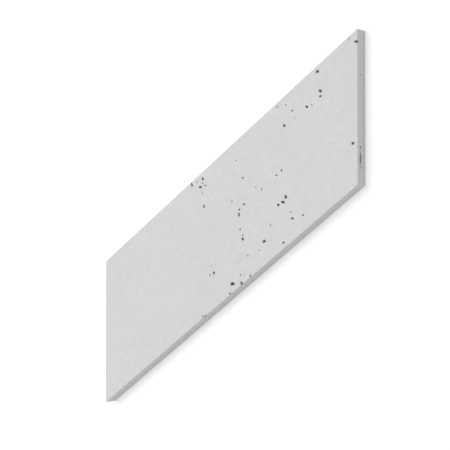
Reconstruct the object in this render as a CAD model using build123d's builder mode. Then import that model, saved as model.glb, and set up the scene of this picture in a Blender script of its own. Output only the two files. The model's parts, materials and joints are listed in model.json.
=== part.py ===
from build123d import *
import os
from math import radians, tan

# A flat wall panel cast in concrete: a long parallelogram with both ends on the same slant. It lies
# on its flat back with the cast face up: X runs along the two long edges, Y square across them, and
# the origin is the middle of the back.

# Driving dimensions, in millimetres and degrees
panel_length = 500
panel_width = 160
panel_thickness = 20
mitre_angle = 36
corner_radius = 0.6
arris_radius = 0.5

# The larger air pits left open in the cast face. Each has its share of the length from the left
# end, its share of the width from the lower edge, and the width of its mouth in millimetres.
air_pits = [
    (0.53, 0.06, 5.0),
    (0.565, 0.01, 4.8),
    (0.42, 0.00, 4.4),
    (0.415, 0.755, 3.4),
    (0.365, 0.98, 4.0),
    (0.40, 0.91, 3.8),
    (0.41, 0.95, 3.5),
    (0.455, 0.245, 3.6),
    (0.57, 0.30, 3.6),
    (0.555, 0.485, 3.7),
    (0.575, 0.525, 3.1),
    (0.653, 0.16, 4.1),
    (0.727, 0.04, 3.1),
    (0.707, 0.32, 3.7),
    (0.725, 0.31, 4.3),
    (0.735, 0.33, 4.3),
    (0.76, 0.15, 3.5),
    (0.73, 0.805, 3.8),
    (0.815, 0.795, 3.6),
    (0.865, 0.817, 4.2),
    (0.865, 0.783, 3.3),
    (0.854, 0.96, 4.2),
    (0.995, 0.923, 4.6),
    (0.983, 0.29, 4.0),
]

# The long void in the right end: its share of the way up that end from the lower edge, its height
# above the back, and the size of its mouth in millimetres
void_across = 0.165
void_height = 12.6
void_length = 14
void_width = 4

# How far each end leans along X from one long edge to the other
end_lean = panel_width * tan(radians(mitre_angle))


def panel_point(along, across, height):
    """The point at those shares of the length and the width, at a height above the back."""
    x = (along - 0.5) * panel_length + (across - 0.5) * end_lean
    y = (across - 0.5) * panel_width
    return Vector(x, y, height)


with BuildPart() as wall_panel:
    with BuildSketch() as outline:
        with BuildLine():
            Polyline(*[panel_point(*corner, 0) for corner in ((0, 0), (1, 0), (1, 1), (0, 1))], close=True)
        make_face()
        fillet(outline.vertices(), radius=corner_radius)
    extrude(amount=panel_thickness)

    # The mould leaves the edges round the face slightly rounded, and those round the back sharp
    fillet(wall_panel.faces().sort_by(Axis.Z)[-1].edges(), radius=arris_radius)

    # Air that was trapped against the mould leaves half-round pits in the face
    for along, across, mouth in air_pits:
        with Locations(panel_point(along, across, panel_thickness)):
            Sphere(radius=mouth / 2, mode=Mode.SUBTRACT)

    # Air that was trapped along the right end leaves a long trough there, round at both tips
    void_middle = panel_point(1, void_across, void_height)
    void_run = panel_point(1, 1, 0) - panel_point(1, 0, 0)
    with BuildSketch(Plane(void_middle, x_dir=void_run, z_dir=(0, 0, 1))):
        SlotOverall(void_length, void_width)
        split(bisect_by=Plane.XZ)
    revolve(axis=Axis(void_middle, void_run), mode=Mode.SUBTRACT)

os.makedirs("parts", exist_ok=True)
wall_panel.part.label = "wall_panel"
export_step(wall_panel.part, "parts/wall_panel.step")
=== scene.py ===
import json
import math
import random

import bmesh
import bpy
import numpy as np
from mathutils import Matrix, Vector, noise
from mathutils.geometry import delaunay_2d_cdt

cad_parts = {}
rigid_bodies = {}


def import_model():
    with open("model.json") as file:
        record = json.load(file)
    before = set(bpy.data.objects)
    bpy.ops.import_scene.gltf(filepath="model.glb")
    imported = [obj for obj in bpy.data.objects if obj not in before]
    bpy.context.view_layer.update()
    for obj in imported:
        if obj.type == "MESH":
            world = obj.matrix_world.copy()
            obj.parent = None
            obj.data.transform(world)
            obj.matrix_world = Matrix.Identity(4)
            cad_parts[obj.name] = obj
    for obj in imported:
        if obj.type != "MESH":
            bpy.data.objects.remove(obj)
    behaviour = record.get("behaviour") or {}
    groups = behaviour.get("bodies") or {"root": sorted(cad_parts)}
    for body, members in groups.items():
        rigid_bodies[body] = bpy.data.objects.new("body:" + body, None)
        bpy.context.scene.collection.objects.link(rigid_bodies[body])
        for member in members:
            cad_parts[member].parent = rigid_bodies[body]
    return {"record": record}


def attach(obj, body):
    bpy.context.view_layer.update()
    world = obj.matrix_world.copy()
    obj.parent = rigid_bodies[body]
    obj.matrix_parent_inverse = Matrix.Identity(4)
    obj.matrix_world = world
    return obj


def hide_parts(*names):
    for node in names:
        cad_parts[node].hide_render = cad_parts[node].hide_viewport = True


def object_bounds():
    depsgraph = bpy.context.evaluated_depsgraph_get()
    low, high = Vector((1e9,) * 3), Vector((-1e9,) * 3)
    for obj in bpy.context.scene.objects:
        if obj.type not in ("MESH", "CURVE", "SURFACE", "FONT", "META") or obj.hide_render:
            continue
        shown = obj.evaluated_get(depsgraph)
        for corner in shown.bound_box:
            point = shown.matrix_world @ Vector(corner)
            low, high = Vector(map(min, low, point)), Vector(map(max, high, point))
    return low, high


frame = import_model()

# A flat cast-concrete panel that lies face up on a pale floor. X runs along its long edges, Y square
# across it and Z up out of its face, in metres.

MM = 0.001
UP = Vector((0, 0, 1))
cad_low, cad_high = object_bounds()
random.seed(36)

# The panel's sizes, from the frame
mounts = {mount["name"]: mount for mount in frame["record"]["mounts"]}
end_normal = Vector(mounts["right_end"]["axis"])
panel_length = 2 * mounts["right_end"]["pos_m"][0]
panel_width = 2 * mounts["upper_long_edge"]["pos_m"][1]
thickness = cad_high.z
end_lean = -panel_width * end_normal.y / end_normal.x

# The rounding of the corners and of the edges round the face, and the chamfer round the back
corner_radius = 0.6 * MM
arris_radius = 0.5 * MM
back_chamfer = 0.4 * MM

# The waves of the cast sides and face, and how far these fall short of the mould at most
side_wave = 14 * MM
side_shortfall = 0.08 * MM
face_wave = 90 * MM
face_shortfall = 0.15 * MM

# The larger pores of the cast face: the share of the length from the left end, the share of the
# width from the lower edge, and the width of the mouth in millimetres. The solid has these too.
large_pores = [
    (0.53, 0.06, 5.0),
    (0.565, 0.01, 4.8),
    (0.42, 0.00, 4.4),
    (0.415, 0.755, 3.4),
    (0.365, 0.98, 4.0),
    (0.40, 0.91, 3.8),
    (0.41, 0.95, 3.5),
    (0.455, 0.245, 3.6),
    (0.57, 0.30, 3.6),
    (0.555, 0.485, 3.7),
    (0.575, 0.525, 3.1),
    (0.653, 0.16, 4.1),
    (0.727, 0.04, 3.1),
    (0.707, 0.32, 3.7),
    (0.725, 0.31, 4.3),
    (0.735, 0.33, 4.3),
    (0.76, 0.15, 3.5),
    (0.73, 0.805, 3.8),
    (0.815, 0.795, 3.6),
    (0.865, 0.817, 4.2),
    (0.865, 0.783, 3.3),
    (0.854, 0.96, 4.2),
    (0.995, 0.923, 4.6),
    (0.983, 0.29, 4.0),
]

# The fainter pores between them, in the same terms
small_pores = [
    (0.52, 0.01, 2.8),
    (0.60, 0.01, 2.8),
    (0.42, 0.89, 2.6),
    (0.44, 0.25, 2.1),
    (0.57, 0.325, 2.4),
    (0.56, 0.38, 2.5),
    (0.557, 0.517, 2.7),
    (0.677, 0.23, 2.2),
    (0.644, 0.52, 2.3),
    (0.62, 0.57, 1.7),
    (0.70, 0.525, 2.5),
    (0.72, 0.525, 2.9),
    (0.57, 0.71, 2.6),
    (0.545, 0.865, 2.0),
    (0.527, 0.62, 2.0),
    (0.59, 0.16, 2.2),
    (0.633, 0.13, 1.8),
    (0.80, 0.11, 2.6),
    (0.76, 0.855, 2.5),
]

# The faintest pores, in the same terms, which have no pinholes of their own
faint_pores = [
    (0.386, 0.965, 2.1),
    (0.409, 0.923, 2.1),
    (0.409, 0.854, 1.9),
    (0.409, 0.019, 2.3),
    (0.562, 0.072, 2.2),
    (0.694, 0.488, 1.5),
    (0.704, 0.971, 2.1),
    (0.736, 0.934, 1.9),
    (0.755, 0.198, 2.1),
    (0.768, 0.793, 1.7),
    (0.834, 0.777, 1.9),
    (0.971, 0.982, 1.9),
]

# The main hollow of a pore: its least and greatest stretch, then its reach, its depth and how far its
# middle is sunk, in shares of half the mouth
pore_stretch = (1.0, 1.4)
pore_reach = 1.1
pore_depth = 1.5
pore_sunk = 0.6

# The shallow hollows that break a pore's rim: the fewest and the most, then the range of their sizes
# and of their distances from its middle, in shares of half the mouth, and their shape
rim_counts = (2, 4)
rim_sizes = (0.35, 0.65)
rim_distances = (0.8, 1.2)
rim_shape = (1.2, 0.8, 0.7)

# The single hollow of a pinhole, in the same terms as a pore's
pinhole_stretch = (1.0, 1.3)
pinhole_depth = 1.1
pinhole_sunk = 0.2

# The pinholes of the face: how many lie round each pore, how far they spread along and across the
# panel, how many lie anywhere, and the least and greatest widths of both kinds, in millimetres
pinholes_each = 4
pinhole_spread = (14, 9)
pinhole_widths = (0.5, 1.4)
stray_pinholes = 110
stray_widths = (0.4, 1.1)

# The pores of the sides and the chips along the edges round the face: one to each such length of
# side, with these widths in millimetres
side_pore_spacing = 14 * MM
side_pore_widths = (0.7, 0.9, 1.2, 1.6, 2.4)
chip_spacing = 18 * MM
chip_widths = (0.8, 1.2, 1.6)

# The long void in the right end: its share of the way up that end from the lower edge, its share of
# the thickness above the back, its hollow's radii along the end, across it and inwards, and how far
# the middle of that hollow is sunk
void_across = 0.165
void_height = 0.63
void_radii = (7.0 * MM, 2.2 * MM, 4.2 * MM)
void_sunk = 1 * MM

# The pores that roughen the void, by the distance along the end and up from its middle and the width
# of the mouth in millimetres, and the pore at each side of it, by its two shares and its mouth
void_pores = [(-5.0, 0.5, 2.6), (-1.5, -0.6, 3.8), (2.0, 0.5, 3.8), (5.0, -0.3, 2.8)]
end_pores = [(0.115, 0.60, 2.6), (0.24, 0.62, 3.2)]


def face_point(along, across):
    """The point of the face at those shares of the length and the width."""
    x = (along - 0.5) * panel_length + (across - 0.5) * end_lean
    y = (across - 0.5) * panel_width
    return Vector((x, y, thickness))


def finished(bm, name, collection):
    """An object of that name from a bmesh, in a collection."""
    mesh = bpy.data.meshes.new(name)
    bm.to_mesh(mesh)
    bm.free()
    made = bpy.data.objects.new(name, mesh)
    collection.objects.link(made)
    return made


# The slab

corners = [face_point(*shares) for shares in ((0, 0), (1, 0), (1, 1), (0, 1))]
sides = [(corners[n], corners[(n + 1) % 4]) for n in range(4)]


def outward(start, end):
    """The outward normal of the side that runs from start to end, anticlockwise."""
    return (end - start).normalized().cross(UP)


def outline():
    """Points round the panel, anticlockwise, each with its outward normal."""
    arc_steps = 4
    spacing = 4 * MM
    points = []
    for n, (corner, following) in enumerate(sides):
        onward = (following - corner).normalized()
        backward = (corners[n - 1] - corner).normalized()
        inward = (onward + backward) / onward.cross(backward).length
        centre = corner + inward * corner_radius
        normal_before, normal_after = outward(corners[n - 1], corner), outward(corner, following)
        for step in range(arc_steps + 1):
            normal = normal_before.slerp(normal_after, step / arc_steps)
            points.append((centre + normal * corner_radius, normal))

        # The straight stretch, from this corner's rounding to the start of the next one's
        after = (corners[(n + 2) % 4] - following).normalized()
        next_inward = (after - onward) / after.cross(onward).length
        first = corner + onward * onward.dot(inward) * corner_radius
        last = following + onward * onward.dot(next_inward) * corner_radius
        pieces = round((last - first).length / spacing)
        for step in range(1, pieces):
            points.append((first.lerp(last, step / pieces), normal_after))
    return points


def unevenness(point, wavelength, depth):
    """How far the cast surface falls short of the mould at a point, from 0 to depth."""
    return depth * (0.5 + 0.5 * noise.noise(point / wavelength))


def ring_of(bm, points, inset, height):
    """One ring of vertices round the slab, set in from the outline at that height."""
    ring = []
    for point, normal in points:
        place = Vector((point.x, point.y, height))
        short = unevenness(place, side_wave, side_shortfall)
        ring.append(bm.verts.new(place - normal * (inset + short)))
    return ring


def fill(bm, rim, cell, depth):
    """Closes a level rim with a net of points that lie up to depth under it."""
    height = rim[0].co.z
    columns, rows = round(panel_length / cell), round(panel_width / cell)
    flat = [vert.co.xy for vert in rim]

    # Each point strays by up to a quarter of a cell, so that the net shows no rows
    for column in range(1, columns):
        for row in range(1, rows):
            wobble = Vector((random.uniform(-1, 1), random.uniform(-1, 1))) * cell / 4
            flat.append(face_point(column / columns, row / rows).xy + wobble)

    inside_only = 1
    same_place = 1e-7
    places, _, faces, *_ = delaunay_2d_cdt(flat, [], [range(len(rim))], inside_only, same_place)
    verts = list(rim)
    for place in places[len(rim):]:
        short = unevenness(place.to_3d(), face_wave, depth)
        verts.append(bm.verts.new((place.x, place.y, height - short)))
    for face in faces:
        bm.faces.new([verts[n] for n in face])


def slab():
    """The closed panel without its pores, with rounded edges round the face."""
    bm = bmesh.new()
    points = outline()
    wall_steps, arris_steps = 4, 4
    face_cell, back_cell = 5 * MM, 15 * MM

    # Each ring's inset from the outline and its height, from the back up to the face
    wall = thickness - arris_radius - back_chamfer
    levels = [(back_chamfer, 0.0), (0.0, back_chamfer)]
    levels += [(0.0, back_chamfer + wall * step / wall_steps) for step in range(1, wall_steps)]
    for step in range(arris_steps + 1):
        turn = math.pi / 2 * step / arris_steps
        inset = arris_radius * (1 - math.cos(turn))
        levels.append((inset, thickness - arris_radius * (1 - math.sin(turn))))

    rings = [ring_of(bm, points, inset, height) for inset, height in levels]
    for lower, upper in zip(rings, rings[1:]):
        for n in range(len(points)):
            bm.faces.new((lower[n - 1], lower[n], upper[n], upper[n - 1]))
    fill(bm, rings[-1], face_cell, face_shortfall)
    fill(bm, rings[0], back_cell, 0)
    bmesh.ops.recalc_face_normals(bm, faces=bm.faces)
    return finished(bm, "concrete_panel", bpy.context.scene.collection)


# The pores, each from one or more hollows that are cut away together

hollows = bpy.data.collections.new("hollows")


def random_share(margin):
    """A random share from 0 to 1 that keeps a margin at both ends."""
    return random.uniform(margin, 1 - margin)


def any_direction():
    """A random direction."""
    return Vector([random.gauss(0, 1) for _ in range(3)]).normalized()


def sideways(normal):
    """A random direction across a normal."""
    return normal.cross(any_direction()).normalized()


def hollow(centre, normal, along, radii, detail):
    """A lumpy ball to cut away, with its radii along a direction, across it and along the normal."""
    lump_height = 0.45
    lump_density = 1.3
    smoothness, step_ratio, octaves = 1.2, 2.2, 4
    noise_reach = 100
    bm = bmesh.new()
    bmesh.ops.create_icosphere(bm, subdivisions=detail, radius=1)
    turn = Matrix((along, normal.cross(along), normal)).transposed()

    # Each hollow takes its lumps from a far place of its own in the noise
    offset = any_direction() * noise_reach
    for vert in bm.verts:
        lump = noise.fractal(vert.co * lump_density + offset, smoothness, step_ratio, octaves)
        shaped = Vector(a * b for a, b in zip(vert.co, radii))
        vert.co = centre + turn @ shaped * (1 + lump_height * lump)
    finished(bm, "hollow", hollows)


def pore(place, normal, mouth):
    """A pore in a surface: one deep hollow, and shallow ones beside it that break its rim."""
    half = mouth / 2
    wide_mouth = 2.6 * MM
    stretch = random.uniform(*pore_stretch)
    detail = 4 if mouth > wide_mouth else 3
    radii = (half * pore_reach * stretch, half * pore_reach / stretch, half * pore_depth)
    hollow(place - normal * half * pore_sunk, normal, sideways(normal), radii, detail)
    for _ in range(random.randint(*rim_counts)):
        size = half * random.uniform(*rim_sizes)
        aside = sideways(normal) * half * random.uniform(*rim_distances)
        radii = [size * share for share in rim_shape]
        hollow(place + aside, normal, sideways(normal), radii, detail - 1)


def pinhole(place, normal, width):
    """A small single hollow in a surface."""
    half = width / 2
    stretch = random.uniform(*pinhole_stretch)
    radii = (half * stretch, half / stretch, half * pinhole_depth)
    hollow(place - normal * half * pinhole_sunk, normal, sideways(normal), radii, detail=2)


def face_pores():
    """The pores of the face, with pinholes scattered round them and others anywhere."""
    for along, across, mouth in large_pores + small_pores:
        place = face_point(along, across)
        pore(place, UP, mouth * MM)
        for _ in range(pinholes_each):
            aside = Vector([random.gauss(0, spread) for spread in pinhole_spread] + [0]) * MM
            pinhole(place + aside, UP, random.uniform(*pinhole_widths) * MM)
    for _ in range(stray_pinholes):
        place = face_point(random_share(margin=0.02), random_share(margin=0.03))
        pinhole(place, UP, random.uniform(*stray_widths) * MM)


def side_pores():
    """The pores of the four sides, and the small chips along the edges round the face."""
    for start, end in sides:
        normal = outward(start, end)
        length = (end - start).length
        for _ in range(round(length / side_pore_spacing)):
            place = start.lerp(end, random_share(margin=0.02))
            place.z = thickness * random_share(margin=0.12)
            pinhole(place, normal, random.choice(side_pore_widths) * MM)
        for _ in range(round(length / chip_spacing)):
            place = start.lerp(end, random_share(margin=0.01))
            pinhole(place, normal, random.choice(chip_widths) * MM)


def end_void():
    """The long void low in the right end, with a small pore on each side of it."""
    start, end = sides[1]
    normal = outward(start, end)
    onward = (end - start).normalized()
    middle = start.lerp(end, void_across)
    middle.z = thickness * void_height
    hollow(middle - normal * void_sunk, normal, onward, void_radii, detail=4)
    for aside, lift, mouth in void_pores:
        pore(middle + (onward * aside + UP * lift) * MM, normal, mouth * MM)
    for share, height, mouth in end_pores:
        place = start.lerp(end, share)
        place.z = thickness * height
        pore(place, normal, mouth * MM)


def lone_pores():
    """The faintest pores of the face, with no pinholes of their own."""
    for along, across, mouth in faint_pores:
        pore(face_point(along, across), UP, mouth * MM)


def carve(piece):
    """Cuts all the hollows out of the piece."""
    cut = piece.modifiers.new("hollows", "BOOLEAN")
    cut.operation = "DIFFERENCE"
    cut.solver = "MANIFOLD"
    cut.operand_type = "COLLECTION"
    cut.collection = hollows
    depsgraph = bpy.context.evaluated_depsgraph_get()
    carved = bpy.data.meshes.new_from_object(piece.evaluated_get(depsgraph))
    piece.modifiers.clear()
    piece.data = carved
    piece.data.name = piece.name
    for each in list(hollows.objects):
        bpy.data.objects.remove(each)
    bpy.data.collections.remove(hollows)


def drop_crumbs(piece):
    """Deletes the loose bits that the cut leaves between hollows, and its edges of no length."""
    no_length = 0.001 * MM
    bm = bmesh.new()
    bm.from_mesh(piece.data)
    waiting = [max(bm.verts, key=lambda vert: vert.co.x)]
    joined = set(waiting)
    while waiting:
        vert = waiting.pop()
        beside = {edge.other_vert(vert) for edge in vert.link_edges} - joined
        joined |= beside
        waiting += beside
    bmesh.ops.delete(bm, geom=[vert for vert in bm.verts if vert not in joined], context="VERTS")
    bmesh.ops.dissolve_degenerate(bm, dist=no_length, edges=bm.edges)
    bm.to_mesh(piece.data)
    bm.free()


def mark_pore_shade_depth(piece):
    """Writes how deep each point lies inside the slab, from 0 on its outside to 1 in a pore, as the mask
    of the painted shade inside the pores.
    """
    outside, full = 0.5 * MM, 3.2 * MM
    places = np.empty(len(piece.data.vertices) * 3)
    piece.data.vertices.foreach_get("co", places)
    places = places.reshape(-1, 3)
    depth = thickness - places[:, 2]
    for start, end in sides:
        normal = np.array(outward(start, end))
        depth = np.minimum(depth, (np.array(start) - places) @ normal)
    share = np.clip((depth - outside) / (full - outside), 0, 1)
    share[places[:, 2] < outside] = 0
    piece.data.attributes.new("hollow", "FLOAT", "POINT").data.foreach_set("value", share)


# The concrete

def add_node(tree, kind, settings=None, **inputs):
    """A node of that kind, with its settings and the values or links of its inputs."""
    node = tree.nodes.new("ShaderNode" + kind)
    for name, value in (settings or {}).items():
        setattr(node, name, value)
    for name, value in inputs.items():
        socket = node.inputs[name.replace("_", " ")]
        if isinstance(value, bpy.types.NodeSocket):
            tree.links.new(value, socket)
        else:
            socket.default_value = value
    return node


def blend(tree, share, first, second):
    """The mix of two numbers, with that share of the second."""
    mixed = add_node(tree, "Mix", {"data_type": "FLOAT"}, Factor=share, A=first, B=second)
    return mixed.outputs["Result"]


def identified(sockets, identifier):
    """The socket of that identifier, where several have the same name."""
    return next(socket for socket in sockets if socket.identifier == identifier)


def grey(level):
    """An opaque grey of that linear level."""
    return (level, level, level, 1)


def concrete():
    """Pale cast concrete: faint clouds and mottles, a fine grain, and painted shade that darkens the
    inside of its pores.
    """
    material = bpy.data.materials.new("cast_concrete")
    material.use_nodes = True
    tree = material.node_tree
    shader = tree.nodes["Principled BSDF"]
    place = add_node(tree, "TexCoord").outputs["Object"]

    clouds = add_node(tree, "TexNoise", Vector=place, Scale=16, Detail=4, Roughness=0.55).outputs["Fac"]
    mottles = add_node(tree, "TexNoise", Vector=place, Scale=110, Detail=5, Roughness=0.7).outputs["Fac"]
    grain = add_node(tree, "TexNoise", Vector=place, Scale=900, Detail=3, Roughness=0.65).outputs["Fac"]
    tone = blend(tree, 0.35, blend(tree, 0.75, clouds, mottles), grain)
    ramp = add_node(tree, "ValToRGB", Fac=tone)
    for stop, position, level in zip(ramp.color_ramp.elements, (0.3, 0.7), (0.63, 0.74)):
        stop.position = position
        stop.color = grey(level)

    # Painted shade: the colour inside each pore is mixed towards a dark grey by the point's depth share,
    # standing in for the shade that falls in the pores
    painted_pore_shade = grey(0.24)
    pore_shade_share = add_node(tree, "Attribute", {"attribute_name": "hollow"}).outputs["Fac"]
    colour = add_node(tree, "Mix", {"data_type": "RGBA"}, Factor=pore_shade_share)
    tree.links.new(ramp.outputs["Color"], identified(colour.inputs, "A_Color"))
    identified(colour.inputs, "B_Color").default_value = painted_pore_shade
    tree.links.new(identified(colour.outputs, "Result_Color"), shader.inputs["Base Color"])

    rough = add_node(tree, "MapRange", Value=mottles, To_Min=0.78, To_Max=0.95)
    tree.links.new(rough.outputs["Result"], shader.inputs["Roughness"])
    shader.inputs["Specular IOR Level"].default_value = 0.2
    relief = blend(tree, 0.5, mottles, grain)
    bump = add_node(tree, "Bump", Strength=0.3, Distance=0.2 * MM, Height=relief)
    tree.links.new(bump.outputs["Normal"], shader.inputs["Normal"])
    return material


# The floor, the light and the camera

def floor():
    """A wide pale floor that shows white to the camera and keeps the panel's shadow."""
    half_side = 30
    floor_lift = 0.29
    bm = bmesh.new()
    bmesh.ops.create_grid(bm, x_segments=1, y_segments=1, size=half_side)
    made = finished(bm, "floor", bpy.context.scene.collection)
    material = bpy.data.materials.new("pale_floor")
    material.use_nodes = True
    tree = material.node_tree
    tree.nodes.remove(tree.nodes["Principled BSDF"])
    rays = add_node(tree, "LightPath")
    seen = add_node(tree, "Math", {"operation": "MAXIMUM"})
    tree.links.new(rays.outputs["Is Camera Ray"], seen.inputs[0])
    tree.links.new(rays.outputs["Is Glossy Ray"], seen.inputs[1])
    lift = add_node(tree, "Math", {"operation": "MULTIPLY"})
    tree.links.new(seen.outputs["Value"], lift.inputs[0])
    lift.inputs[1].default_value = floor_lift
    paint = add_node(tree, "BsdfDiffuse", Color=grey(0.8))
    glow = add_node(tree, "Emission", Strength=lift.outputs["Value"])
    both = add_node(tree, "AddShader")
    tree.links.new(paint.outputs["BSDF"], both.inputs[0])
    tree.links.new(glow.outputs["Emission"], both.inputs[1])
    tree.links.new(both.outputs["Shader"], tree.nodes["Material Output"].inputs["Surface"])
    made.data.materials.append(material)


def surroundings():
    """Even light from all round, which the camera sees as white."""
    world = bpy.data.worlds.new("studio")
    bpy.context.scene.world = world
    world.use_nodes = True
    tree = world.node_tree
    rays = add_node(tree, "LightPath")
    strength = add_node(tree, "MapRange", Value=rays.outputs["Is Camera Ray"], To_Min=0.60, To_Max=1.0)
    tree.links.new(strength.outputs["Result"], tree.nodes["Background"].inputs["Strength"])
    tree.nodes["Background"].inputs["Color"].default_value = grey(1)


# The photograph's own right and up in the plane of the face: its ends stand upright there
photo_right = end_normal
photo_up = UP.cross(end_normal)


def add_lamp(name, kind, energy, place):
    """A lamp at a place in the photograph's right, up and out of the face, aimed at the panel."""
    lamp = bpy.data.lights.new(name, kind)
    lamp.energy = energy
    made = bpy.data.objects.new(name, lamp)
    made.location = photo_right * place[0] + photo_up * place[1] + UP * place[2]
    made.rotation_euler = made.location.to_track_quat("Z", "Y").to_euler()
    bpy.context.scene.collection.objects.link(made)
    return lamp


def lights():
    """A broad soft light from the upper left, and a weak panel of light nearer to the left end."""
    key = add_lamp("soft_key", "SUN", energy=0.97, place=(-0.5, 0.55, 2.4))
    key.angle = math.radians(35)
    side = add_lamp("soft_side", "AREA", energy=4.6, place=(-1.1, 0.5, 1.6))
    side.size = 1.2


def camera():
    """The photograph's viewpoint, with a longer lens that fills the frame with this panel."""
    rightward, downward, height = 1.170, 0.050, 1.718
    photo_lens, closer = 44.6, 2.8
    middle = face_point(0.5, 0.5)
    stand = middle + photo_right * rightward - photo_up * downward + UP * height
    lens = bpy.data.cameras.new("camera")
    lens.lens = photo_lens * closer
    lens.sensor_width = 36
    made = bpy.data.objects.new("camera", lens)
    backward = (stand - middle).normalized()
    right = photo_up.cross(backward).normalized()
    turn = Matrix((right, backward.cross(right), backward)).transposed()
    made.matrix_world = Matrix.Translation(stand) @ turn.to_4x4()
    bpy.context.scene.collection.objects.link(made)
    bpy.context.scene.camera = made


panel = slab()
face_pores()
side_pores()
end_void()
lone_pores()
carve(panel)
drop_crumbs(panel)
mark_pore_shade_depth(panel)
panel.data.shade_smooth()
panel.data.set_sharp_from_angle(angle=math.radians(38))
panel.data.materials.clear()
panel.data.materials.append(concrete())
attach(panel, "root")
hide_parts("wall_panel")

floor()
surroundings()
lights()
camera()
bpy.context.scene.view_settings.view_transform = "Standard"
